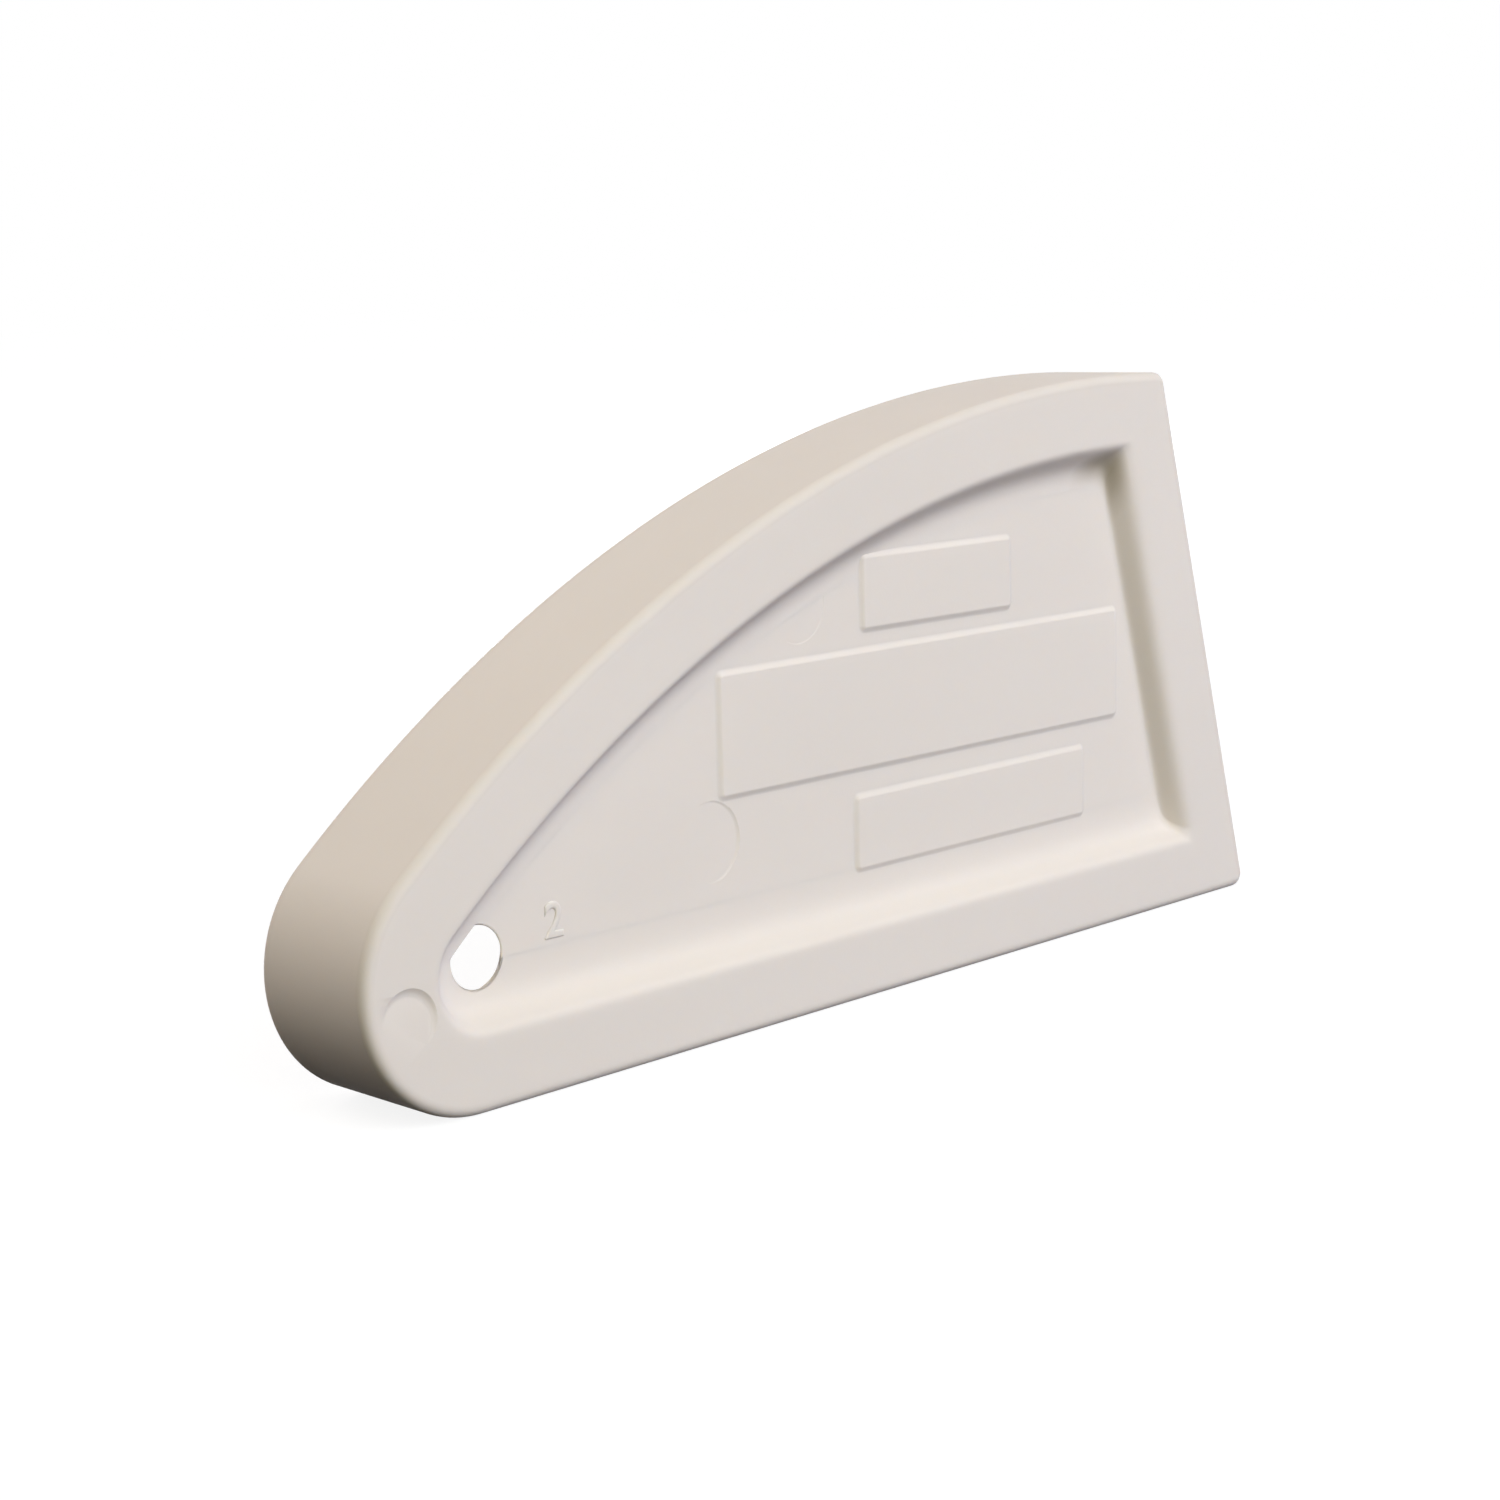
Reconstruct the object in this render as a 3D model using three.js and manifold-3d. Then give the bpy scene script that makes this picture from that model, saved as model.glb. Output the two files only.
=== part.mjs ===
// Sealant smoothing tool: a moulded hand tool with a thick rim round a thin sunken web.
// Each side of the rim draws a different joint: a straight edge, a round nose, a long arc and a slanted end.
// The real tool is one moulding. Here its rim, web and label plates are solids that meet face to face.
// Sizes are in millimetres. The tool stands on its straight edge, with its labelled face towards -Y.
import * as THREE from 'three';
import { mergeVertices } from 'three/addons/utils/BufferGeometryUtils.js';
import Module from 'manifold-3d';

const wasm = await Module();
wasm.setup();

// Side view
const LENGTH = 105;
const HEIGHT = 49.5;
const NOSE_RADIUS = 10.2;
const ARC_RADIUS = 128;
const END_SLANT = THREE.MathUtils.degToRad(15);
const CORNER_RADIUS = 0.6;

// Section through the rim
const THICKNESS = 12;
const EDGE_ROUNDING = 0.6;
const ARC_BORDER = 6.4;
const BOTTOM_BORDER = 6.1;
const END_BORDER = 7.3;

// Recesses on both sides of the web, which share the outline of their foot
const FRONT_DEPTH = 2.1;
const FRONT_WALL_RUN = 0.9;
const BACK_WALL_RUN = 1.9;
const FOOT_NOSE_RADIUS = 3.2;
const FOOT_CORNER_RADIUS = 0.6;
const WEB_THICKNESS = 1.2;

// Hang hole, placed from the middle of the recess's round end
const HOLE_DIAMETER = 4.9;
const HOLE_SETBACK = 1.2;
const HOLE_RISE = 0.95;

// Label plates, stacked from the recess's lower edge up, each placed from the wall of the slanted end
const LOWER_PLATE = { width: 30.2, height: 6.2, gapBelow: 3.3, gapToEnd: 10.1 };
const MIDDLE_PLATE = { width: 50.6, height: 9.8, gapBelow: 2.2, gapToEnd: 2 };
const UPPER_PLATE = { width: 19, height: 6.1, gapBelow: 1.6, gapToEnd: 14.9 };
const PLATE_RISE = 0.3;
const PLATE_WALL_GAP = 0.5;

// Round sunken marks of the ejector pins: one on the web, placed as the hole is, and one on the nose,
// half way across its labelled face and turned down from the nose's middle
const WEB_MARK_RADIUS = 3.4;
const WEB_MARK_DEPTH = 0.15;
const WEB_MARK_SETBACK = 24.5;
const WEB_MARK_RISE = 5.2;
const NOSE_MARK_RADIUS = 2.8;
const NOSE_MARK_DEPTH = 0.3;
const NOSE_MARK_TURN = THREE.MathUtils.degToRad(19);

// Facets of the curved stretches
const ARC_STEPS = 28;
const NOSE_STEPS = 18;
const CORNER_STEPS = 3;
const ROUND_STEPS = 32;
const ROUNDING_STEPS = 2;

// How far a cutting solid reaches past what it cuts
const CUT_CLEARANCE = 1;

const PLASTIC = { color: 0xe6dfd3, roughness: 0.55, metalness: 0 };

const { Vector2 } = THREE;

// Levels through the thickness, with the labelled face at the top
const frontFace = THICKNESS / 2;
const backFace = -frontFace;
const webFront = frontFace - FRONT_DEPTH;
const webBack = webFront - WEB_THICKNESS;

// The nose touches the straight edge and the arc, and the arc's highest point gives the height
const noseTip = -LENGTH / 2;
const arcCentre = new Vector2(
  noseTip + NOSE_RADIUS + legOf(ARC_RADIUS - NOSE_RADIUS, HEIGHT - ARC_RADIUS - NOSE_RADIUS),
  HEIGHT - ARC_RADIUS,
);

// The heel's rounding, not its sharp corner, gives the length
const sideCornerRadius = CORNER_RADIUS + EDGE_ROUNDING;
const heelCentre = new Vector2(LENGTH / 2 - sideCornerRadius, sideCornerRadius);
const endNormal = new Vector2(Math.cos(END_SLANT), Math.sin(END_SLANT));
const endUp = new Vector2(-Math.sin(END_SLANT), Math.cos(END_SLANT));
const endReach = heelCentre.dot(endNormal) + sideCornerRadius;

// How far the three long sides of each outline lie inside the tool's own, with the radii at its corners
const TOOL_SIDE = {
  bottom: 0,
  arc: 0,
  end: 0,
  noseRadius: NOSE_RADIUS,
  cornerRadius: sideCornerRadius,
};
const RECESS_FOOT = {
  bottom: BOTTOM_BORDER + FRONT_WALL_RUN,
  arc: ARC_BORDER + FRONT_WALL_RUN,
  end: END_BORDER + FRONT_WALL_RUN,
  noseRadius: FOOT_NOSE_RADIUS,
  cornerRadius: FOOT_CORNER_RADIUS,
};

// Other leg of a right triangle
function legOf(hypotenuse, leg) {
  return Math.sqrt(hypotenuse ** 2 - leg ** 2);
}

// An outline moved inwards by `inset`, which keeps the centres of its rounded corners
function insetBy(side, inset) {
  return {
    bottom: side.bottom + inset,
    arc: side.arc + inset,
    end: side.end + inset,
    noseRadius: side.noseRadius - inset,
    cornerRadius: side.cornerRadius - inset,
  };
}

// Centres of the nose, of the heel below the slanted end and of the peak above it
function cornerCentres(side) {
  const { bottom, noseRadius, cornerRadius } = side;
  const arcRadius = ARC_RADIUS - side.arc;
  const noseHeight = bottom + noseRadius;
  const nose = new Vector2(arcCentre.x - legOf(arcRadius - noseRadius, noseHeight - arcCentre.y), noseHeight);
  const reach = endReach - side.end - cornerRadius;
  const heelHeight = bottom + cornerRadius;
  const heel = new Vector2((reach - heelHeight * endNormal.y) / endNormal.x, heelHeight);
  const fromArc = endNormal.clone().multiplyScalar(reach).sub(arcCentre);
  const climb = legOf(arcRadius - cornerRadius, fromArc.dot(endNormal)) - fromArc.dot(endUp);
  const peak = endNormal.clone().multiplyScalar(reach).addScaledVector(endUp, climb);
  return { nose, heel, peak };
}

function arcPoints(centre, radius, from, to, steps) {
  return new THREE.ArcCurve(centre.x, centre.y, radius, from, to).getPoints(steps);
}

// Straight edge, heel, slanted end, peak, long arc and nose, anticlockwise
function outline(side) {
  const { nose, heel, peak } = cornerCentres(side);
  const { noseRadius, cornerRadius } = side;
  const peakAngle = peak.clone().sub(arcCentre).angle();
  const noseAngle = nose.clone().sub(arcCentre).angle();
  const soleAngle = 1.5 * Math.PI;
  return [
    ...arcPoints(heel, cornerRadius, soleAngle, END_SLANT, CORNER_STEPS),
    ...arcPoints(peak, cornerRadius, END_SLANT, peakAngle, CORNER_STEPS),
    ...arcPoints(arcCentre, ARC_RADIUS - side.arc, peakAngle, noseAngle, ARC_STEPS).slice(1),
    ...arcPoints(nose, noseRadius, noseAngle, soleAngle, NOSE_STEPS).slice(1),
  ];
}

// Closed solid through a stack of outlines with equal numbers of points, lowest first
function loft(levels) {
  const count = levels[0].points.length;
  const positions = levels.flatMap(({ points, level }) => points.flatMap(({ x, y }) => [x, y, level]));
  const indices = [];
  for (let ring = 1; ring < levels.length; ring += 1) {
    for (let i = 0; i < count; i += 1) {
      const next = (i + 1) % count;
      const below = (ring - 1) * count;
      const above = ring * count;
      indices.push(below + i, below + next, above + next, below + i, above + next, above + i);
    }
  }
  const top = (levels.length - 1) * count;
  for (const [a, b, c] of THREE.ShapeUtils.triangulateShape(levels[0].points, [])) {
    indices.push(a, c, b);
  }
  for (const [a, b, c] of THREE.ShapeUtils.triangulateShape(levels.at(-1).points, [])) {
    indices.push(top + a, top + b, top + c);
  }
  const geometry = new THREE.BufferGeometry();
  geometry.setAttribute('position', new THREE.Float32BufferAttribute(positions, 3));
  geometry.setIndex(indices);
  return geometry;
}

function prism(points, bottom, top, holes = []) {
  const shape = new THREE.Shape(points);
  shape.holes = holes;
  const geometry = new THREE.ExtrudeGeometry(shape, { depth: top - bottom, bevelEnabled: false });
  return geometry.translate(0, 0, bottom);
}

function disc(centre, radius, bottom, top) {
  return prism(arcPoints(centre, radius, 0, 2 * Math.PI, ROUND_STEPS).slice(1), bottom, top);
}

function solidOf(geometry) {
  const bare = geometry.clone();
  bare.deleteAttribute('normal');
  bare.deleteAttribute('uv');
  const merged = mergeVertices(bare);
  return new wasm.Manifold(new wasm.Mesh({
    numProp: 3,
    vertProperties: new Float32Array(merged.attributes.position.array),
    triVerts: new Uint32Array(merged.index.array),
  }));
}

function geometryOf(solid) {
  const { vertProperties, triVerts } = solid.getMesh();
  const geometry = new THREE.BufferGeometry();
  geometry.setAttribute('position', new THREE.BufferAttribute(vertProperties, 3));
  geometry.setIndex(new THREE.BufferAttribute(triVerts, 1));
  return geometry;
}

// Outer block of the tool, with a small rounding along both faces
function toolBlock() {
  const rounding = [];
  for (let step = 0; step <= ROUNDING_STEPS; step += 1) {
    const turn = (step / ROUNDING_STEPS) * (Math.PI / 2);
    rounding.push({
      points: outline(insetBy(TOOL_SIDE, EDGE_ROUNDING * (1 - Math.sin(turn)))),
      drop: EDGE_ROUNDING * (1 - Math.cos(turn)),
    });
  }
  const back = rounding.map(({ points, drop }) => ({ points, level: backFace + drop }));
  const front = rounding.map(({ points, drop }) => ({ points, level: frontFace - drop }));
  return loft([...back, ...front.reverse()]);
}

// Space inside the rim: a band as thick as the web at its foot, flaring out to both faces
function recessSpace() {
  const foot = outline(RECESS_FOOT);
  const atFront = outline(insetBy(RECESS_FOOT, -FRONT_WALL_RUN));
  const atBack = outline(insetBy(RECESS_FOOT, -BACK_WALL_RUN));
  return loft([
    { points: atBack, level: backFace - CUT_CLEARANCE },
    { points: atBack, level: backFace },
    { points: foot, level: webBack },
    { points: foot, level: webFront },
    { points: atFront, level: frontFace },
    { points: atFront, level: frontFace + CUT_CLEARANCE },
  ]);
}

// Where the lines through two pairs of points cross
function crossing(a, b, c, d) {
  const along = b.clone().sub(a);
  const across = d.clone().sub(c);
  const share = c.clone().sub(a).cross(across) / along.cross(across);
  return a.clone().addScaledVector(along, share);
}

// The rim parts at the two corners of the slanted end and where the nose runs into its neighbours
function rimSectors() {
  const outer = cornerCentres(TOOL_SIDE);
  const inner = cornerCentres(RECESS_FOOT);
  const hub = crossing(outer.heel, inner.heel, outer.peak, inner.peak);
  const reach = LENGTH + HEIGHT;
  const outwards = (from, through) => {
    const direction = through.clone().sub(from).normalize();
    return from.clone().addScaledVector(direction, reach);
  };
  const pastHeel = outwards(hub, outer.heel);
  const pastPeak = outwards(hub, outer.peak);
  const pastArc = outwards(arcCentre, outer.nose);
  const pastSole = new Vector2(outer.nose.x, -reach);
  return {
    straight_edge: [outer.nose, pastSole, pastHeel, hub],
    slanted_end: [hub, pastHeel, pastPeak],
    curved_edge: [hub, pastPeak, pastArc, outer.nose],
    round_nose: [outer.nose, pastArc, pastSole],
  };
}

// Sides of the rim, with the ejector mark sunk into the nose's labelled face
function rimSides() {
  const outerEdge = NOSE_RADIUS - EDGE_ROUNDING;
  const innerEdge = FOOT_NOSE_RADIUS + FRONT_WALL_RUN;
  const towardsMark = new Vector2(-Math.cos(NOSE_MARK_TURN), -Math.sin(NOSE_MARK_TURN));
  const markCentre = cornerCentres(TOOL_SIDE).nose.addScaledVector(towardsMark, (outerEdge + innerEdge) / 2);
  const markFloor = frontFace - NOSE_MARK_DEPTH;
  const markSpace = disc(markCentre, NOSE_MARK_RADIUS, markFloor, frontFace + CUT_CLEARANCE);
  const rim = solidOf(toolBlock()).subtract(solidOf(recessSpace())).subtract(solidOf(markSpace));
  return Object.entries(rimSectors()).map(([name, sector]) => {
    const sectorSpace = prism(sector, backFace - CUT_CLEARANCE, frontFace + CUT_CLEARANCE);
    return [name, geometryOf(rim.intersect(solidOf(sectorSpace)))];
  });
}

// Thin web across the rim, with the hang hole and a shallow ejector mark
function webPanel() {
  const { nose } = cornerCentres(RECESS_FOOT);
  const holeCentre = new Vector2(nose.x + HOLE_SETBACK, nose.y + HOLE_RISE);
  const markCentre = new Vector2(nose.x + WEB_MARK_SETBACK, nose.y + WEB_MARK_RISE);
  const hole = new THREE.Path(arcPoints(holeCentre, HOLE_DIAMETER / 2, 0, 2 * Math.PI, ROUND_STEPS).slice(1));
  const panel = prism(outline(RECESS_FOOT), webBack, webFront, [hole]);
  const markFloor = webFront - WEB_MARK_DEPTH;
  const markSpace = disc(markCentre, WEB_MARK_RADIUS, markFloor, webFront + CUT_CLEARANCE);
  return geometryOf(solidOf(panel).subtract(solidOf(markSpace)));
}

// Plain raised plates on the web, which stop short of the recess's walls
function labelPlates() {
  const room = solidOf(prism(outline(insetBy(RECESS_FOOT, PLATE_WALL_GAP)), webBack, frontFace));
  let bottom = RECESS_FOOT.bottom;
  return Object.entries({
    lower_plate: LOWER_PLATE,
    middle_plate: MIDDLE_PLATE,
    upper_plate: UPPER_PLATE,
  }).map(([name, { width, height, gapBelow, gapToEnd }]) => {
    bottom += gapBelow;
    const top = bottom + height;
    const wall = (endReach - RECESS_FOOT.end - top * endNormal.y) / endNormal.x;
    const right = wall - gapToEnd;
    const left = right - width;
    const corners = [
      new Vector2(left, bottom),
      new Vector2(right, bottom),
      new Vector2(right, top),
      new Vector2(left, top),
    ];
    bottom = top;
    const plate = solidOf(prism(corners, webFront, webFront + PLATE_RISE));
    return [name, geometryOf(plate.intersect(room))];
  });
}

// The pieces are drawn flat with the labelled face up, then stood on the straight edge
const tool = new THREE.Group();
for (const [name, geometry] of [...rimSides(), ['web', webPanel()], ...labelPlates()]) {
  geometry.rotateX(Math.PI / 2);
  const mesh = new THREE.Mesh(geometry, new THREE.MeshStandardMaterial(PLASTIC));
  mesh.name = name;
  tool.add(mesh);
}

export default tool;
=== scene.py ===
"""Sealant smoothing tool of off-white moulded plastic: a thick rim round a thin web with raised plates.

Every piece is drawn flat, with the plates up, and is then stood on the straight edge so that the plates
face -Y.
"""
import math
from collections import namedtuple

import bmesh
import bpy
from mathutils import Matrix, Vector


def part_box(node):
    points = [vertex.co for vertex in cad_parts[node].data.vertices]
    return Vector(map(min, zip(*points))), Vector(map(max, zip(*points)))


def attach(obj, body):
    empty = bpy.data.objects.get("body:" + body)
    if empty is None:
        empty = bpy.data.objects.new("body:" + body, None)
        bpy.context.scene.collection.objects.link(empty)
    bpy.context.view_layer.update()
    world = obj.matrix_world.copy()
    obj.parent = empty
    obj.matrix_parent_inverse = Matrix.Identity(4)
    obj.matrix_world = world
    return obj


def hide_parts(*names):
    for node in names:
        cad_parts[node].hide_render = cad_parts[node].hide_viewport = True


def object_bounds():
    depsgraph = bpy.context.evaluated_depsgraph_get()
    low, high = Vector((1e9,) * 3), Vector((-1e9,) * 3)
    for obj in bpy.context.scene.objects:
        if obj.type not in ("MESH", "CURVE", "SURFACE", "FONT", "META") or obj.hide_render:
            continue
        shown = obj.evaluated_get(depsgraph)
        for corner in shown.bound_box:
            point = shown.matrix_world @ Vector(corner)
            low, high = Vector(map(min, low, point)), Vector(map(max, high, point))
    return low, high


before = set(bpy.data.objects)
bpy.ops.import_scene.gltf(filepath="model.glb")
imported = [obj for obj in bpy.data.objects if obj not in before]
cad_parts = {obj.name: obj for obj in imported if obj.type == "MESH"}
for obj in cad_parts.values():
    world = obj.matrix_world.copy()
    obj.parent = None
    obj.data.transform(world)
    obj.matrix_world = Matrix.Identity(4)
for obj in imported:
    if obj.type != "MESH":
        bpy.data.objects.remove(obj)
cad_low, cad_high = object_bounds()

MM = 0.001

# Side view of the tool
LENGTH = cad_high.x - cad_low.x
HEIGHT = cad_high.z
NOSE_RADIUS = 10.2 * MM
ARC_RADIUS = 128 * MM
END_SLANT = math.radians(15)
CORNER_RADIUS = 1.2 * MM

# Levels through the thickness, with the plates up
FRONT = -cad_low.y
BACK = -cad_high.y
WEB_FRONT = -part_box("web")[0].y
WEB_BACK = -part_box("web")[1].y

# Outer edges of the rim: their roundings, and the band along them that use has made smoother, which also
# carries painted shade that tones down the light the rounded edges catch
FRONT_ROUNDING = 0.8 * MM
BACK_ROUNDING = 0.6 * MM
WEAR_AND_SHADE_BAND = 1 * MM

# Lines round the tool that shape the rim: how far the straight edge, the arc and the slanted end of each
# lie inside the tool's own, and its radii at the nose, at the heel below the slanted end and at the peak
# above it. The wall of the recess leaves the face at its shoulder, bends at its brow and again at its foot,
# and runs out on the web at its land. The wall under the arc widens from the nose to the peak, because the
# arcs of foot and land are shifted towards the nose. The back has its own brow and shoulder. The web's edge
# is tucked into the rim
Line = namedtuple("Line", "bottom arc end nose_radius heel_radius peak_radius arc_shift", defaults=(0,))
TOOL_SIDE = Line(0, 0, 0, NOSE_RADIUS, CORNER_RADIUS, CORNER_RADIUS)
SHOULDER = Line(5.1 * MM, 5.7 * MM, 5 * MM, 5 * MM, 1.2 * MM, 1.2 * MM)
BROW = Line(6.3 * MM, 6.5 * MM, 7.5 * MM, 4.1 * MM, 0.7 * MM, 0.7 * MM)
FOOT = Line(7 * MM, 7.8 * MM, 8.3 * MM, 3.1 * MM, 0.5 * MM, 1.4 * MM, 0.6 * MM)
LAND = Line(10.5 * MM, 9.9 * MM, 8.9 * MM, 1.5 * MM, 0.3 * MM, 2 * MM, 1 * MM)
BACK_BROW = Line(5.1 * MM, 5.4 * MM, 6.3 * MM, 5.1 * MM, 2.5 * MM, 2.5 * MM)
BACK_SHOULDER = Line(4.4 * MM, 4.7 * MM, 5.6 * MM, 5.8 * MM, 3.2 * MM, 3.2 * MM)
WEB_EDGE = Line(6.6 * MM, 6.8 * MM, 7.9 * MM, 3.6 * MM, 0.7 * MM, 0.7 * MM)

# The rim's lands lie this much above the web that they run out on
FOOT_LIFT = 0.003 * MM

# Lines that bend each wall of the rim, in order. A line that comes twice pulls its bend tighter
WALLS = {
    "front_wall": ["shoulder", "brow", "brow", "foot", "foot", "land"],
    "back_wall": ["back_land", "back_foot", "back_foot", "back_brow", "back_brow", "back_shoulder"],
}

# Painted shade in the upper corner of the recess, drawn as a darker colour: how far it reaches along the
# wall, and the share of the way down the wall at which it begins
CORNER_SHADE_REACH = 4 * MM
CORNER_SHADE_START = 0.25

# Hang hole, which flares to the back and is cut off straight where the wall along the arc comes down
HOLE_RADIUS = 2.35 * MM
HOLE_ROUNDING = 0.12 * MM
HOLE_FLARE = 0.85 * MM
HOLE_PLACE = Vector((-40.77, 10.97)) * MM
HOLE_ARC_GAP = 8.73 * MM

# Ejector marks: place, radius, depth in the middle, and fall in degrees along the tool and up it
Mark = namedtuple("Mark", "place radius depth fall")
WEB_MARKS = [
    Mark(Vector((-17.3, 15.4)) * MM, 3.15 * MM, 0.04 * MM, Vector((1.6, 0.2))),
    Mark(Vector((-6.7, 32.9)) * MM, 3 * MM, 0.01 * MM, Vector((0.6, -0.5))),
]
NOSE_MARKS = [Mark(Vector((-48.88, 7.81)) * MM, 2.1 * MM, 0.05 * MM, Vector((2.7, 5)))]

# Ends of the pins that leave the marks: length, share by which they flare over it, and bend of the flank,
# from 1 for a straight one. The nose's pin is worn softer than the web's
Pin = namedtuple("Pin", "length flare bend")
WEB_PIN = Pin(0.5 * MM, 0.25, 1.5)
NOSE_PIN = Pin(0.4 * MM, 0.4, 2)

# Raised plates
PLATES = ["lower_plate", "middle_plate", "upper_plate"]
PLATE_RISE = 0.24 * MM
PLATE_FLANK = 0.6 * MM
PLATE_CORNER = 0.7 * MM
PLATE_SINK = 0.3 * MM

# Cavity number of the mould, with soft strokes. Their rounding, what is first taken off them and the
# upright part of their sides are shares of the letter size
DIGIT = "2"
DIGIT_HEIGHT = 2.8 * MM
DIGIT_RISE = 0.13 * MM
DIGIT_ROUNDING = 0.045
DIGIT_THINNING = 0.02
DIGIT_UPRIGHT = 0.0045
DIGIT_ROUNDING_STEPS = 3
DIGIT_PLACE = Vector((-34.3, 11)) * MM

# Steps along each stretch of an outline
CORNER_STEPS = 8
END_STEPS = 24
ARC_STEPS = 110
NOSE_STEPS = 44
SOLE_STEPS = 24
ROUNDING_STEPS = 8
WALL_STEPS = 28
CIRCLE_STEPS = 96

# Finish of the meshes
MERGE_WITHIN = 1e-7
SMOOTH_BELOW = math.radians(32)
STAND_UP = Matrix.Rotation(math.pi / 2, 4, "X")

# Patterns in the plastic: widths of the clouds along its flow, of the dull patches, of the dips where it
# shrank and of the grain, with the depths of the last two. The real grain is about 0.1 mm wide, and is
# drawn coarser so that it shows
CLOUD_WIDTH = 30 * MM
CLOUD_STRETCH = 2.5
PATCH_WIDTH = 4 * MM
DIP_WIDTH = 14 * MM
DIP_DEPTH = 0.03 * MM
GRAIN_WIDTH = 0.25 * MM
GRAIN_DEPTH = 0.004 * MM

# Dark specks: width of the cells that hold one at most, share of the cells that hold none, and radii at
# which a speck begins to fade and is gone
SPECK_CELL = 5 * MM
SPECK_FREE = 0.985
SPECK_CORE = 0.06 * MM
SPECK_REACH = 0.15 * MM

# Roughness of the plastic, what use takes off it at the edges, and the share of painted shade on those
# edges, which tones down the light the rounded edges catch
ROUGHNESS_LOW = 0.62
ROUGHNESS_HIGH = 0.74
RUBBED_OFF = 0.1
EDGE_SHADE_SHARE = 0.2

# Floor: its reach in metres, and its glow near the tool, which rises to full white between two distances
FLOOR_REACH = 6
FLOOR_GLOW = 0.87
GLOW_START = 0.2
GLOW_FULL = 0.8

# Strength of the room's own faint light
ROOM_LIGHT = 0.004

# Lamps: their distance from the tool in metres, and for each its direction, the width of its face in
# metres, its power in watts and its colour
LAMP_DISTANCE = 0.9
LAMPS = {
    "right_softbox": ((0.42, -0.89, 0.17), 0.8, 6.7, "#E8E8FD"),
    "front_softbox": ((0, -0.82, 0.57), 0.8, 4.5, "#D8E4FF"),
    "left_softbox": ((-0.35, -0.74, 0.57), 0.8, 4.8, "#FFF9CE"),
    "back_softbox": ((-0.41, 0.71, 0.57), 0.8, 5.7, "#FFF5F8"),
    "rear_softbox": ((0.55, 0.83, 0), 0.2, 9.5, "#EBEFF8"),
}

# Camera where the photograph was taken from: sensor and lens in millimetres, place and nearest sight in
# metres, and turn in degrees
SENSOR_WIDTH = 36
LENS = 63.409
CAMERA_PLACE = (-0.157278, -0.147698, 0.057238)
CAMERA_TURN = (80.222, 1.4574, -45.4557)
CAMERA_NEAR = 0.01

# Sockets of a mix node, where a name comes more than once: its two ends and its result
COLOUR_A, COLOUR_B, COLOUR_OUT = 6, 7, 2
VECTOR_A, VECTOR_B, VECTOR_OUT = 4, 5, 1


def linear(code):
    """Linear colour of an sRGB hex value."""
    channels = [int(code[start:start + 2], 16) / 255 for start in (1, 3, 5)]
    return [c / 12.92 if c <= 0.04045 else ((c + 0.055) / 1.055) ** 2.4 for c in channels] + [1]


def add_node(tree, kind, inputs=None, **settings):
    """Adds a node; an input given as a socket is linked, and any other value is set."""
    node = tree.nodes.new(kind)
    for name, value in settings.items():
        setattr(node, name, value)
    for key, value in (inputs or {}).items():
        if isinstance(value, bpy.types.NodeSocket):
            tree.links.new(value, node.inputs[key])
        else:
            node.inputs[key].default_value = value
    return node


# Outlines

def leg_of(hypotenuse, leg):
    """Other leg of a right-angled triangle."""
    return math.sqrt(hypotenuse ** 2 - leg ** 2)


arc_centre = Vector((
    -LENGTH / 2 + NOSE_RADIUS + leg_of(ARC_RADIUS - NOSE_RADIUS, HEIGHT - ARC_RADIUS - NOSE_RADIUS),
    HEIGHT - ARC_RADIUS,
))
end_normal = Vector((math.cos(END_SLANT), math.sin(END_SLANT)))
end_up = Vector((-math.sin(END_SLANT), math.cos(END_SLANT)))
heel_centre = Vector((LENGTH / 2 - CORNER_RADIUS, CORNER_RADIUS))
end_reach = heel_centre.dot(end_normal) + CORNER_RADIUS


def arc_middle(line):
    """Centre of a line's arc."""
    return arc_centre - Vector((line.arc_shift, 0))


def corner_centres(line):
    """Centres of a line's nose, of its heel below the slanted end and of its peak above it."""
    middle = arc_middle(line)
    arc_radius = ARC_RADIUS - line.arc
    nose_height = line.bottom + line.nose_radius
    nose_back = leg_of(arc_radius - line.nose_radius, nose_height - middle.y)
    nose = Vector((middle.x - nose_back, nose_height))
    heel_reach = end_reach - line.end - line.heel_radius
    heel_height = line.bottom + line.heel_radius
    heel = Vector(((heel_reach - heel_height * end_normal.y) / end_normal.x, heel_height))
    peak_reach = end_reach - line.end - line.peak_radius
    from_arc = end_normal * peak_reach - middle
    climb = leg_of(arc_radius - line.peak_radius, from_arc.dot(end_normal)) - from_arc.dot(end_up)
    return nose, heel, end_normal * peak_reach + end_up * climb


def turn(centre, radius, start, stop, steps):
    """Points along an arc, each with the direction that faces out of it."""
    angles = [start + (stop - start) * step / steps for step in range(steps + 1)]
    outwards = [Vector((math.cos(angle), math.sin(angle))) for angle in angles]
    return [(centre + radius * outward, outward) for outward in outwards]


def straight(start, stop, steps):
    """Points between two others, which face the same way."""
    return [(start[0].lerp(stop[0], step / steps), start[1]) for step in range(1, steps)]


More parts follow.
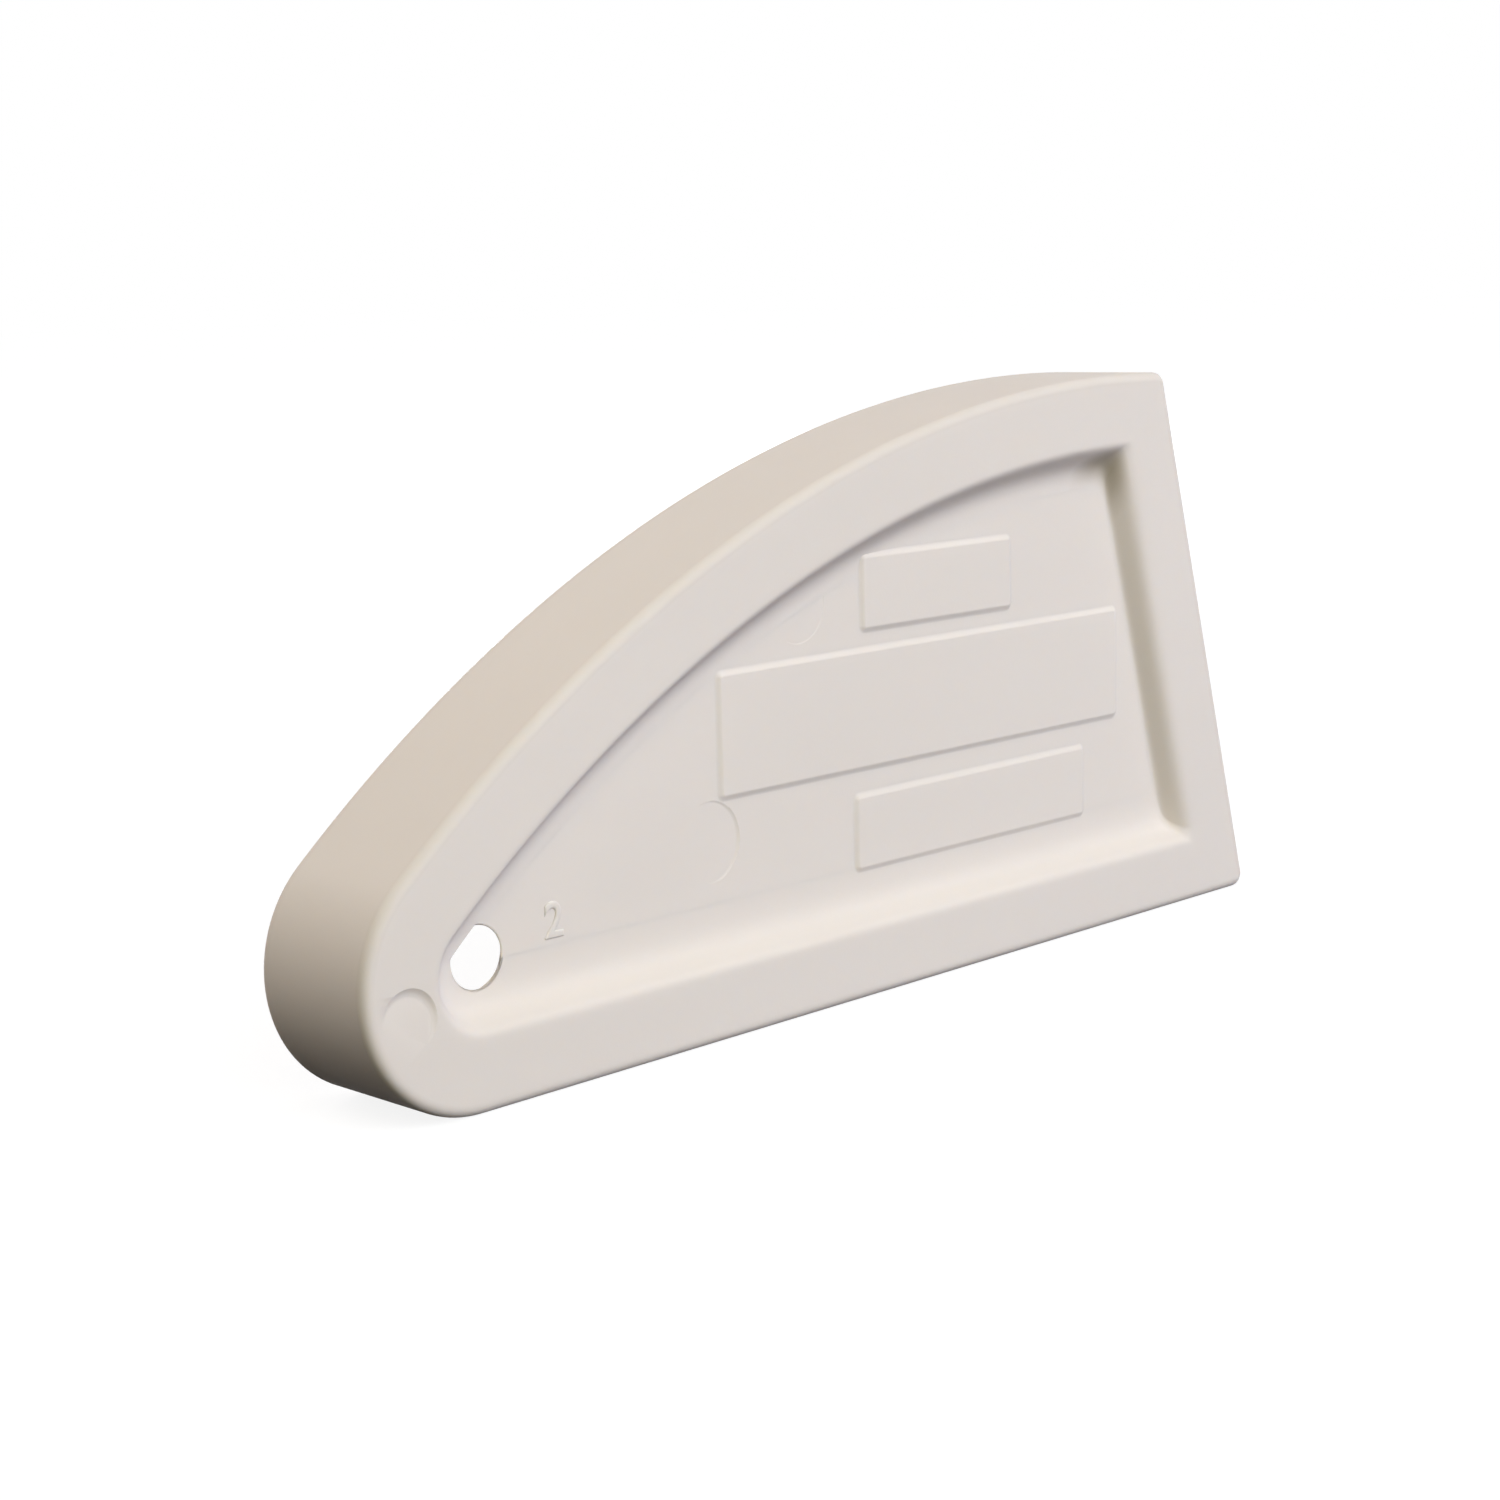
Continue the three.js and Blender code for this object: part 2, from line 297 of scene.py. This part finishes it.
def outline(line):
    """Points with outward directions along heel, slanted end, peak, arc, nose and straight edge."""
    nose, heel, peak = corner_centres(line)
    middle = arc_middle(line)
    peak_angle = math.atan2(*(peak - middle).yx)
    nose_angle = math.atan2(*(nose - middle).yx)
    heel_turn = turn(heel, line.heel_radius, -math.pi / 2, END_SLANT, CORNER_STEPS)
    peak_turn = turn(peak, line.peak_radius, END_SLANT, peak_angle, CORNER_STEPS)
    arc = turn(middle, ARC_RADIUS - line.arc, peak_angle, nose_angle, ARC_STEPS)
    nose_turn = turn(nose, line.nose_radius, nose_angle, 1.5 * math.pi, NOSE_STEPS)
    return [
        *heel_turn,
        *straight(heel_turn[-1], peak_turn[0], END_STEPS),
        *peak_turn,
        *arc[1:],
        *nose_turn[1:],
        *straight(nose_turn[-1], heel_turn[0], SOLE_STEPS),
    ]


def flat_points(stations, level=0.0):
    """An outline's points at one level."""
    return [point.to_3d() + Vector((0, 0, level)) for point, _ in stations]


# Making pieces

def new_object(name, data):
    """Object in the scene, at the origin."""
    obj = bpy.data.objects.new(name, data)
    bpy.context.scene.collection.objects.link(obj)
    return obj


def drawing(name, points, closed, **values):
    """Points with named values at each, for a node tree to read, joined in a ring if it is closed."""
    edges = [(i, (i + 1) % len(points)) for i in range(len(points))] if closed else []
    mesh = bpy.data.meshes.new(name)
    mesh.from_pydata(points, edges, [])
    for key, column in values.items():
        if isinstance(column[0], Vector):
            layer = mesh.attributes.new(key, "FLOAT_VECTOR", "POINT")
            layer.data.foreach_set("vector", [part for vector in column for part in vector.to_3d()])
        else:
            layer = mesh.attributes.new(key, "FLOAT", "POINT")
            layer.data.foreach_set("value", column)
    return new_object(name, mesh)


def lofted(name, rings):
    """Closed solid through a stack of rings with equal numbers of points, lowest first."""
    count = len(rings[0])
    faces = [list(range(count))[::-1], list(range((len(rings) - 1) * count, len(rings) * count))]
    for ring in range(len(rings) - 1):
        for i in range(count):
            below, after = ring * count + i, ring * count + (i + 1) % count
            faces.append((below, after, after + count, below + count))
    mesh = bpy.data.meshes.new(name)
    mesh.from_pydata([point for ring in rings for point in ring], [], faces)
    return new_object(name, mesh)


def new_tree(name, sizes):
    """Geometry tree that takes a piece's own mesh and named sizes, with the sockets that bring them."""
    tree = bpy.data.node_groups.new(name, "GeometryNodeTree")
    tree.interface.new_socket("Geometry", in_out="OUTPUT", socket_type="NodeSocketGeometry")
    tree.interface.new_socket("Geometry", in_out="INPUT", socket_type="NodeSocketGeometry")
    for size, kind in sizes.items():
        tree.interface.new_socket(size, in_out="INPUT", socket_type=f"NodeSocket{kind}")
    return tree, add_node(tree, "NodeGroupInput").outputs


def end_tree(tree, geometry, material):
    """Ends a tree: instances made real, in the tree's material."""
    real = add_node(tree, "GeometryNodeRealizeInstances", {"Geometry": geometry}).outputs[0]
    dressed = add_node(tree, "GeometryNodeSetMaterial", {"Geometry": real, "Material": material})
    add_node(tree, "NodeGroupOutput", {"Geometry": dressed.outputs[0]})


def grow(obj, tree, **sizes):
    """Runs a tree on an object, with its sizes by name, and keeps the result as a plain mesh."""
    modifier = obj.modifiers.new(tree.name, "NODES")
    modifier.node_group = tree
    for item in tree.interface.items_tree:
        key = item.name.lower().replace(" ", "_")
        if key in sizes:
            modifier[item.identifier] = sizes[key]
    make_plain(obj)


def make_plain(obj):
    """Turns what an object's modifiers make into its own mesh."""
    graph = bpy.context.evaluated_depsgraph_get()
    mesh = bpy.data.meshes.new_from_object(
        obj.evaluated_get(graph), preserve_all_data_layers=True, depsgraph=graph
    )
    obj.modifiers.clear()
    obj.data = mesh


def finish_piece(obj, nodes):
    """Stands a piece up, shades it, and lets it stand for its CAD nodes."""
    mesh = obj.data
    shape = bmesh.new()
    shape.from_mesh(mesh)
    bmesh.ops.remove_doubles(shape, verts=shape.verts, dist=MERGE_WITHIN)
    bmesh.ops.transform(shape, matrix=STAND_UP, verts=shape.verts)
    bmesh.ops.recalc_face_normals(shape, faces=shape.faces)
    shape.to_mesh(mesh)
    shape.free()
    mesh.materials.clear()
    mesh.materials.append(PLASTIC)
    mesh.shade_smooth()
    mesh.set_sharp_from_angle(angle=SMOOTH_BELOW)
    normals = obj.modifiers.new("flat_faces", "WEIGHTED_NORMAL")
    normals.keep_sharp = True
    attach(obj, "root")
    if nodes:
        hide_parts(*nodes)


# Material

def moulded_abs():
    """Injection-moulded ABS in off-white, from a steel mould with a fine spark-eroded face.

    It gives the eye an even warm white with a soft, wide sheen. Close up there are a fine grain, slow
    dips where the plastic shrank, faint clouds along the way it flowed, and a rare dark speck. Use has made
    its outer edges a little smoother, and they carry a faint painted shade that tones down the light they
    catch. The recess's upper corner carries painted shade too, drawn as a darker colour.
    """
    material = bpy.data.materials.new("moulded_abs_off_white")
    material.use_nodes = True
    tree = material.node_tree

    # The IOR is that of ABS. The eroded face mirrors little, and some light wanders just below it
    shader = tree.nodes["Principled BSDF"]
    shader.inputs["IOR"].default_value = 1.53
    shader.inputs["Specular IOR Level"].default_value = 0.06
    shader.inputs["Subsurface Weight"].default_value = 0.3
    shader.inputs["Subsurface Radius"].default_value = (1, 0.8, 0.6)
    shader.inputs["Subsurface Scale"].default_value = 0.6 * MM
    place = add_node(tree, "ShaderNodeTexCoord").outputs["Object"]
    worn_and_edge_shaded = add_node(tree, "ShaderNodeAttribute", attribute_name="wear").outputs["Fac"]

    # Clouds, drawn out along the flow from the nose to the slanted end
    flow = add_node(
        tree, "ShaderNodeMapping", {"Vector": place, "Scale": (1 / CLOUD_STRETCH, 1, 1)}
    ).outputs[0]
    clouds = add_node(
        tree, "ShaderNodeTexNoise", {"Vector": flow, "Scale": 1 / CLOUD_WIDTH, "Detail": 3}
    ).outputs[0]
    tone = add_node(tree, "ShaderNodeMix", {
        0: clouds, COLOUR_A: linear("#DAD2C9"), COLOUR_B: linear("#E2DAD2"),
    }, data_type="RGBA").outputs[COLOUR_OUT]
    # Painted shade on the outer edges: a slightly darker colour that tones down the light they catch
    edge_shade = add_node(tree, "ShaderNodeMath", {0: worn_and_edge_shaded, 1: EDGE_SHADE_SHARE}, operation="MULTIPLY").outputs[0]
    edge_shaded_tone = add_node(tree, "ShaderNodeMix", {
        0: edge_shade, COLOUR_A: tone, COLOUR_B: linear("#CCC3B8"),
    }, data_type="RGBA").outputs[COLOUR_OUT]

    # Painted shade along the rim's walls where they meet in the upper corner of the recess, drawn as a
    # darker colour
    along = add_node(tree, "ShaderNodeAttribute", attribute_name="dust").outputs["Fac"]
    hollow = add_node(tree, "ShaderNodeAttribute", attribute_name="hollow").outputs["Fac"]
    corner_shade = add_node(tree, "ShaderNodeMath", {0: along, 1: hollow}, operation="MULTIPLY").outputs[0]
    painted_corner_shade = add_node(tree, "ShaderNodeMix", {
        0: corner_shade, COLOUR_A: edge_shaded_tone, COLOUR_B: linear("#8C8066"),
    }, data_type="RGBA").outputs[COLOUR_OUT]

    # Specks, each in a cell that is drawn by chance
    cells = add_node(tree, "ShaderNodeTexVoronoi", {"Vector": place, "Scale": 1 / SPECK_CELL}).outputs
    near = add_node(tree, "ShaderNodeMapRange", {
        "Value": cells["Distance"],
        "From Min": SPECK_CORE / SPECK_CELL,
        "From Max": SPECK_REACH / SPECK_CELL,
        "To Min": 1,
        "To Max": 0,
    }).outputs[0]
    chance = add_node(tree, "ShaderNodeSeparateColor", {0: cells["Color"]}).outputs[0]
    drawn = add_node(
        tree, "ShaderNodeMath", {0: chance, 1: SPECK_FREE}, operation="GREATER_THAN"
    ).outputs[0]
    speck = add_node(tree, "ShaderNodeMath", {0: near, 1: drawn}, operation="MULTIPLY").outputs[0]
    colour = add_node(tree, "ShaderNodeMix", {
        0: speck, COLOUR_A: painted_corner_shade, COLOUR_B: linear("#8A8072"),
    }, data_type="RGBA").outputs[COLOUR_OUT]
    tree.links.new(colour, shader.inputs["Base Color"])

    # Dull where the mould was rough, a little glossier where the edges are rubbed
    patches = add_node(
        tree, "ShaderNodeTexNoise", {"Vector": place, "Scale": 1 / PATCH_WIDTH, "Detail": 4}
    ).outputs[0]
    dull = add_node(tree, "ShaderNodeMapRange", {
        "Value": patches,
        "From Min": 0.3,
        "From Max": 0.7,
        "To Min": ROUGHNESS_LOW,
        "To Max": ROUGHNESS_HIGH,
    }).outputs[0]
    polish = add_node(
        tree, "ShaderNodeMath", {0: worn_and_edge_shaded, 1: -RUBBED_OFF, 2: dull}, operation="MULTIPLY_ADD"
    ).outputs[0]
    tree.links.new(polish, shader.inputs["Roughness"])

    # Grain on top of the dips
    dips = add_node(
        tree, "ShaderNodeTexNoise", {"Vector": place, "Scale": 1 / DIP_WIDTH, "Detail": 1}
    ).outputs[0]
    sunk = add_node(tree, "ShaderNodeBump", {"Distance": DIP_DEPTH, "Height": dips}).outputs[0]
    grain = add_node(
        tree, "ShaderNodeTexNoise", {"Vector": place, "Scale": 1 / GRAIN_WIDTH, "Detail": 2}
    ).outputs[0]
    rough = add_node(
        tree, "ShaderNodeBump", {"Distance": GRAIN_DEPTH, "Height": grain, "Normal": sunk}
    ).outputs[0]
    tree.links.new(rough, shader.inputs["Normal"])
    return material


PLASTIC = moulded_abs()


# Rim

def rim_tree():
    """Sweeps the rim's section round the tool, and bends its walls by the lines drawn for them."""
    tree, given = new_tree(
        "rim_sweep", {"Section": "Object", "Rounding Steps": "Int", "Material": "Material"}
    )
    plain_values = ["rounding", "share", *WALLS]
    bends = sorted({line for lines in WALLS.values() for line in lines})
    kinds = dict.fromkeys(plain_values, "FLOAT")
    kinds.update(dict.fromkeys(["section", "side", "outward", *bends], "FLOAT_VECTOR"))
    stored = {
        key: add_node(tree, "GeometryNodeInputNamedAttribute", {"Name": key}, data_type=kind).outputs[0]
        for key, kind in kinds.items()
    }

    path = add_node(tree, "GeometryNodeMeshToCurve", {"Mesh": given["Geometry"]}).outputs[0]
    drawn = add_node(tree, "GeometryNodeObjectInfo", {"Object": given["Section"]}).outputs["Geometry"]
    sharp = add_node(tree, "GeometryNodeMeshToCurve", {"Mesh": drawn}).outputs[0]
    soft = add_node(tree, "GeometryNodeFilletCurve", {
        "Curve": sharp,
        "Count": given["Rounding Steps"],
        "Radius": stored["rounding"],
        "Limit Radius": True,
    }, mode="POLY").outputs[0]
    here = add_node(tree, "GeometryNodeInputPosition").outputs[0]
    marked = add_node(tree, "GeometryNodeStoreNamedAttribute", {
        "Geometry": soft, "Name": "section", "Value": here,
    }, data_type="FLOAT_VECTOR", domain="POINT").outputs[0]
    swept = add_node(
        tree, "GeometryNodeCurveToMesh", {"Curve": path, "Profile Curve": marked}
    ).outputs[0]

    # Outside the walls, a point lies as far in from the tool's side as in the section, at the same level
    across_and_level = add_node(tree, "ShaderNodeSeparateXYZ", {0: stored["section"]}).outputs
    inwards = add_node(tree, "ShaderNodeVectorMath", {
        0: stored["outward"], "Scale": across_and_level["X"],
    }, operation="SCALE").outputs[0]
    plan = add_node(
        tree, "ShaderNodeVectorMath", {0: stored["side"], 1: inwards}, operation="SUBTRACT"
    ).outputs[0]
    level = add_node(tree, "ShaderNodeCombineXYZ", {"Z": across_and_level["Y"]}).outputs[0]
    position = add_node(tree, "ShaderNodeVectorMath", {0: plan, 1: level}, operation="ADD").outputs[0]

    # On a wall, it lies on a curve that bends at the lines between its ends
    for wall, lines in WALLS.items():
        points = [stored[line] for line in lines]
        while len(points) > 1:
            points = [
                add_node(tree, "ShaderNodeMix", {
                    0: stored["share"], VECTOR_A: near, VECTOR_B: far,
                }, data_type="VECTOR").outputs[VECTOR_OUT]
                for near, far in zip(points, points[1:])
            ]
        position = add_node(tree, "ShaderNodeMix", {
            0: stored[wall], VECTOR_A: position, VECTOR_B: points[0],
        }, data_type="VECTOR").outputs[VECTOR_OUT]
    placed = add_node(tree, "GeometryNodeSetPosition", {"Geometry": swept, "Position": position})
    end_tree(tree, placed.outputs[0], given["Material"])
    return tree


# Points of the rim's section: inwards from the side, level, rounding, smoothing by use and painted edge
# shade, wall, share of the way along it, and how much painted corner shade it takes there
SectionPoint = namedtuple(
    "SectionPoint", "across level rounding wear wall share hollow", defaults=(0.0, 0.0, None, 0.0, 0.0)
)
wall_points = []
for wall in WALLS:
    for step in range(WALL_STEPS + 1):
        share = step / WALL_STEPS
        depth = share if wall == "front_wall" else 1 - share
        across = SHOULDER.bottom + (LAND.bottom - SHOULDER.bottom) * depth
        level = (FRONT if wall == "front_wall" else BACK) * (1 - depth)
        # Painted shade in the upper corner grows down the front wall, from a share of its way down
        painted_corner_shade = math.sin(math.pi * max(0, depth - CORNER_SHADE_START) / (1 - CORNER_SHADE_START))
        hollow = painted_corner_shade if wall == "front_wall" else 0.0
        wall_points.append(SectionPoint(across, level, wall=wall, share=share, hollow=hollow))
section_points = [
    SectionPoint(0, FRONT, FRONT_ROUNDING, 1.0),
    SectionPoint(WEAR_AND_SHADE_BAND, FRONT),
    *wall_points,
    SectionPoint(WEAR_AND_SHADE_BAND, BACK),
    SectionPoint(0, BACK, BACK_ROUNDING, 1.0),
    SectionPoint(0, BACK + WEAR_AND_SHADE_BAND),
    SectionPoint(0, FRONT - WEAR_AND_SHADE_BAND),
]
section = drawing(
    "rim_section",
    [(point.across, point.level, 0) for point in section_points],
    closed=True,
    rounding=[point.rounding for point in section_points],
    wear=[point.wear for point in section_points],
    share=[point.share for point in section_points],
    hollow=[point.hollow for point in section_points],
    **{wall: [float(point.wall == wall) for point in section_points] for wall in WALLS},
)
side = outline(TOOL_SIDE)
# Painted shade fades out along the outline from the upper corner of the recess
shaded_corner = corner_centres(FOOT)[2]
rim = drawing(
    "rim",
    flat_points(side),
    closed=True,
    side=[point for point, _ in side],
    outward=[outward for _, outward in side],
    dust=[max(0.0, 1 - (point - shaded_corner).length / CORNER_SHADE_REACH) for point, _ in outline(FOOT)],
    shoulder=flat_points(outline(SHOULDER), FRONT),
    brow=flat_points(outline(BROW), FRONT),
    foot=flat_points(outline(FOOT), WEB_FRONT + FOOT_LIFT),
    land=flat_points(outline(LAND), WEB_FRONT + FOOT_LIFT),
    back_land=flat_points(outline(LAND), WEB_BACK - FOOT_LIFT),
    back_foot=flat_points(outline(FOOT), WEB_BACK - FOOT_LIFT),
    back_brow=flat_points(outline(BACK_BROW), BACK),
    back_shoulder=flat_points(outline(BACK_SHOULDER), BACK),
)
grow(rim, rim_tree(), section=section, rounding_steps=ROUNDING_STEPS, material=PLASTIC)
bpy.data.objects.remove(section)


# Web with the hang hole

def hole_ring(radius, level):
    """Ring of points round the hang hole, which goes no nearer to the arc than its gap."""
    ring = []
    for point, _ in turn(HOLE_PLACE, radius, 0, 2 * math.pi, CIRCLE_STEPS)[1:]:
        from_arc = point - arc_centre
        from_arc.length = min(from_arc.length, ARC_RADIUS - HOLE_ARC_GAP)
        ring.append((arc_centre + from_arc).to_3d() + Vector((0, 0, level)))
    return ring


web = lofted("thin_web", [flat_points(outline(WEB_EDGE), level) for level in (WEB_BACK, WEB_FRONT)])
front_rings = []
for step in range(ROUNDING_STEPS + 1):
    angle = math.pi / 2 * step / ROUNDING_STEPS
    flare, sink = 1 - math.cos(angle), 1 - math.sin(angle)
    front_rings.append(hole_ring(HOLE_RADIUS + HOLE_ROUNDING * flare, WEB_FRONT - HOLE_ROUNDING * sink))
hole_space = lofted("hole_space", [
    hole_ring(HOLE_RADIUS + HOLE_FLARE, BACK),
    hole_ring(HOLE_RADIUS + HOLE_FLARE, WEB_BACK),
    *front_rings,
    hole_ring(HOLE_RADIUS + HOLE_ROUNDING, FRONT),
])
for piece in (rim, web):
    cut = piece.modifiers.new("hang_hole", "BOOLEAN")
    cut.operation = "DIFFERENCE"
    cut.object = hole_space
    make_plain(piece)
bpy.data.objects.remove(hole_space)


# Ejector marks

def mark_tree():
    """Sinks a shallow round mark at each given point, as a pin's end leaves it."""
    tree, given = new_tree("pin_marks", {"Marks": "Object", "Pin End": "Object", "Material": "Material"})
    reach, fall = [
        add_node(
            tree, "GeometryNodeInputNamedAttribute", {"Name": key}, data_type="FLOAT_VECTOR"
        ).outputs[0]
        for key in ("reach", "fall")
    ]
    points = add_node(tree, "GeometryNodeObjectInfo", {"Object": given["Marks"]}).outputs["Geometry"]
    pin = add_node(tree, "GeometryNodeObjectInfo", {"Object": given["Pin End"]}).outputs["Geometry"]
    pins = add_node(tree, "GeometryNodeInstanceOnPoints", {
        "Points": points, "Instance": pin, "Rotation": fall, "Scale": reach,
    }).outputs[0]
    real_pins = add_node(tree, "GeometryNodeRealizeInstances", {"Geometry": pins}).outputs[0]
    sunk = add_node(tree, "GeometryNodeMeshBoolean", {
        "Mesh 1": given["Geometry"], "Mesh 2": real_pins,
    }, operation="DIFFERENCE", solver="EXACT").outputs[0]
    end_tree(tree, sunk, given["Material"])
    return tree


PIN_MARKS = mark_tree()


def sink_marks(piece, marks, pin, level):
    """Sinks a pin's marks into a piece, from the level of its face."""
    points = drawing(
        "mark_points",
        [mark.place.to_3d() + Vector((0, 0, level - mark.depth)) for mark in marks],
        closed=False,
        reach=[Vector((mark.radius, mark.radius, pin.length)) for mark in marks],
        fall=[Vector((-math.radians(mark.fall.y), math.radians(mark.fall.x), 0)) for mark in marks],
    )
    rings = []
    for step in range(ROUNDING_STEPS + 1):
        climb = step / ROUNDING_STEPS
        circle = turn(Vector((0, 0)), 1 + pin.flare * climb, 0, 2 * math.pi, CIRCLE_STEPS)
        rings.append(flat_points(circle[1:], climb ** pin.bend))
    pin_end = lofted("pin_end", rings)
    grow(piece, PIN_MARKS, marks=points, pin_end=pin_end, material=PLASTIC)
    bpy.data.objects.remove(pin_end)
    bpy.data.objects.remove(points)


sink_marks(web, WEB_MARKS, WEB_PIN, WEB_FRONT)
sink_marks(rim, NOSE_MARKS, NOSE_PIN, FRONT)
finish_piece(rim, ["straight_edge", "round_nose", "curved_edge", "slanted_end"])
finish_piece(web, ["web"])


# Raised plates

def rounded_rectangle(low, high, inset, level):
    """Ring of points round a rectangle, drawn in by the inset, with rounded corners."""
    near, far = low + Vector((PLATE_CORNER,) * 2), high - Vector((PLATE_CORNER,) * 2)
    centres = [far, Vector((near.x, far.y)), near, Vector((far.x, near.y))]
    ring = []
    for quarter, centre in enumerate(centres):
        start = quarter * math.pi / 2
        corner = turn(centre, PLATE_CORNER - inset, start, start + math.pi / 2, CORNER_STEPS)
        ring += flat_points(corner, level)
    return ring


def raised_plate(node):
    """Low plate with soft sloping flanks, half way down which lie the sides of its CAD node."""
    box_low, box_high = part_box(node)
    spread = Vector((PLATE_FLANK / 2,) * 2)
    low, high = box_low.xz - spread, box_high.xz + spread
    rings = [rounded_rectangle(low, high, 0, WEB_FRONT - PLATE_SINK)]
    for step in range(ROUNDING_STEPS + 1):
        share = step / ROUNDING_STEPS
        climb = share * share * (3 - 2 * share)
        rings.append(rounded_rectangle(low, high, PLATE_FLANK * share, WEB_FRONT + PLATE_RISE * climb))
    finish_piece(lofted(f"raised_{node}", rings), [node])


for plate in PLATES:
    raised_plate(plate)


# Cavity number

def cavity_number():
    """Small raised digit, as the mould's maker cuts to tell its cavities apart."""
    text = bpy.data.curves.new("cavity_number", "FONT")
    text.body = DIGIT
    text.offset = -DIGIT_THINNING
    text.extrude = DIGIT_UPRIGHT
    text.bevel_depth = DIGIT_ROUNDING
    text.bevel_resolution = DIGIT_ROUNDING_STEPS
    drawn = new_object("cavity_number_drawing", text)
    graph = bpy.context.evaluated_depsgraph_get()
    mesh = bpy.data.meshes.new_from_object(drawn.evaluated_get(graph))
    bpy.data.objects.remove(drawn)
    low = Vector([min(vertex.co[axis] for vertex in mesh.vertices) for axis in range(3)])
    high = Vector([max(vertex.co[axis] for vertex in mesh.vertices) for axis in range(3)])
    scale = DIGIT_HEIGHT / (high.y - low.y)
    lift = DIGIT_RISE / high.z
    for vertex in mesh.vertices:
        spot = (vertex.co - low) * scale
        vertex.co = (DIGIT_PLACE.x + spot.x, DIGIT_PLACE.y + spot.y, WEB_FRONT + vertex.co.z * lift)
    finish_piece(new_object("cavity_number", mesh), [])


cavity_number()


# Studio

def sight(tree):
    """1 on a ray that shows a surface to the camera, straight, mirrored or through something clear."""
    ray = add_node(tree, "ShaderNodeLightPath").outputs
    seen = add_node(
        tree, "ShaderNodeMath", {0: ray["Is Camera Ray"], 1: ray["Is Glossy Ray"]}, operation="MAXIMUM"
    ).outputs[0]
    return add_node(
        tree, "ShaderNodeMath", {0: seen, 1: ray["Is Transmission Ray"]}, operation="MAXIMUM"
    ).outputs[0]


def studio_floor():
    """Matt floor that looks white but for the tool's shadow, and throws little light up."""
    corners = [(-1, -1), (1, -1), (1, 1), (-1, 1)]
    mesh = bpy.data.meshes.new("floor")
    mesh.from_pydata([(FLOOR_REACH * x, FLOOR_REACH * y, 0) for x, y in corners], [], [(0, 1, 2, 3)])
    material = bpy.data.materials.new("matt_paper_floor")
    material.use_nodes = True
    tree = material.node_tree
    tree.nodes.clear()
    seen = sight(tree)
    place = add_node(tree, "ShaderNodeTexCoord").outputs["Object"]
    away = add_node(tree, "ShaderNodeVectorMath", {0: place}, operation="LENGTH").outputs["Value"]
    white = add_node(tree, "ShaderNodeMapRange", {
        "Value": away, "From Min": GLOW_START, "From Max": GLOW_FULL, "To Min": FLOOR_GLOW, "To Max": 1,
    }).outputs[0]
    glow = add_node(tree, "ShaderNodeMath", {0: seen, 1: white}, operation="MULTIPLY").outputs[0]
    light = add_node(tree, "ShaderNodeEmission", {"Strength": glow}).outputs[0]
    tone = add_node(tree, "ShaderNodeMix", {
        0: seen, COLOUR_A: linear("#1C1611"), COLOUR_B: linear("#7C7C7C"),
    }, data_type="RGBA").outputs[COLOUR_OUT]
    paper = add_node(tree, "ShaderNodeBsdfDiffuse", {"Color": tone}).outputs[0]
    both = add_node(tree, "ShaderNodeAddShader", {0: light, 1: paper}).outputs[0]
    add_node(tree, "ShaderNodeOutputMaterial", {"Surface": both})
    mesh.materials.append(material)
    new_object("floor", mesh)


def studio_world():
    """Faint room light, and plain white where the background is seen or mirrored."""
    world = bpy.data.worlds.new("studio")
    bpy.context.scene.world = world
    world.use_nodes = True
    tree = world.node_tree
    tree.nodes.clear()
    white = linear("#FFFFFF")
    dim = add_node(tree, "ShaderNodeBackground", {"Color": white, "Strength": ROOM_LIGHT}).outputs[0]
    bright = add_node(tree, "ShaderNodeBackground", {"Color": white, "Strength": 1}).outputs[0]
    sky = add_node(tree, "ShaderNodeMixShader", {0: sight(tree), 1: dim, 2: bright}).outputs[0]
    add_node(tree, "ShaderNodeOutputWorld", {"Surface": sky})


def softbox(name, direction, width, power, colour):
    """Square lamp with a soft face, turned to the middle of the tool."""
    lamp = bpy.data.lights.new(name, "AREA")
    lamp.size = width
    lamp.energy = power
    lamp.color = linear(colour)[:3]
    obj = new_object(name, lamp)
    towards = Vector(direction).normalized()
    obj.location = Vector((0, 0, HEIGHT / 2)) + towards * LAMP_DISTANCE
    obj.rotation_euler = (-towards).to_track_quat("-Z", "Y").to_euler()


studio_floor()
studio_world()
for name, settings in LAMPS.items():
    softbox(name, *settings)

camera_data = bpy.data.cameras.new("camera")
camera_data.sensor_width = SENSOR_WIDTH
camera_data.lens = LENS
camera_data.clip_start = CAMERA_NEAR
camera = new_object("camera", camera_data)
camera.location = CAMERA_PLACE
camera.rotation_euler = [math.radians(angle) for angle in CAMERA_TURN]
bpy.context.scene.camera = camera
bpy.context.scene.view_settings.view_transform = "Standard"
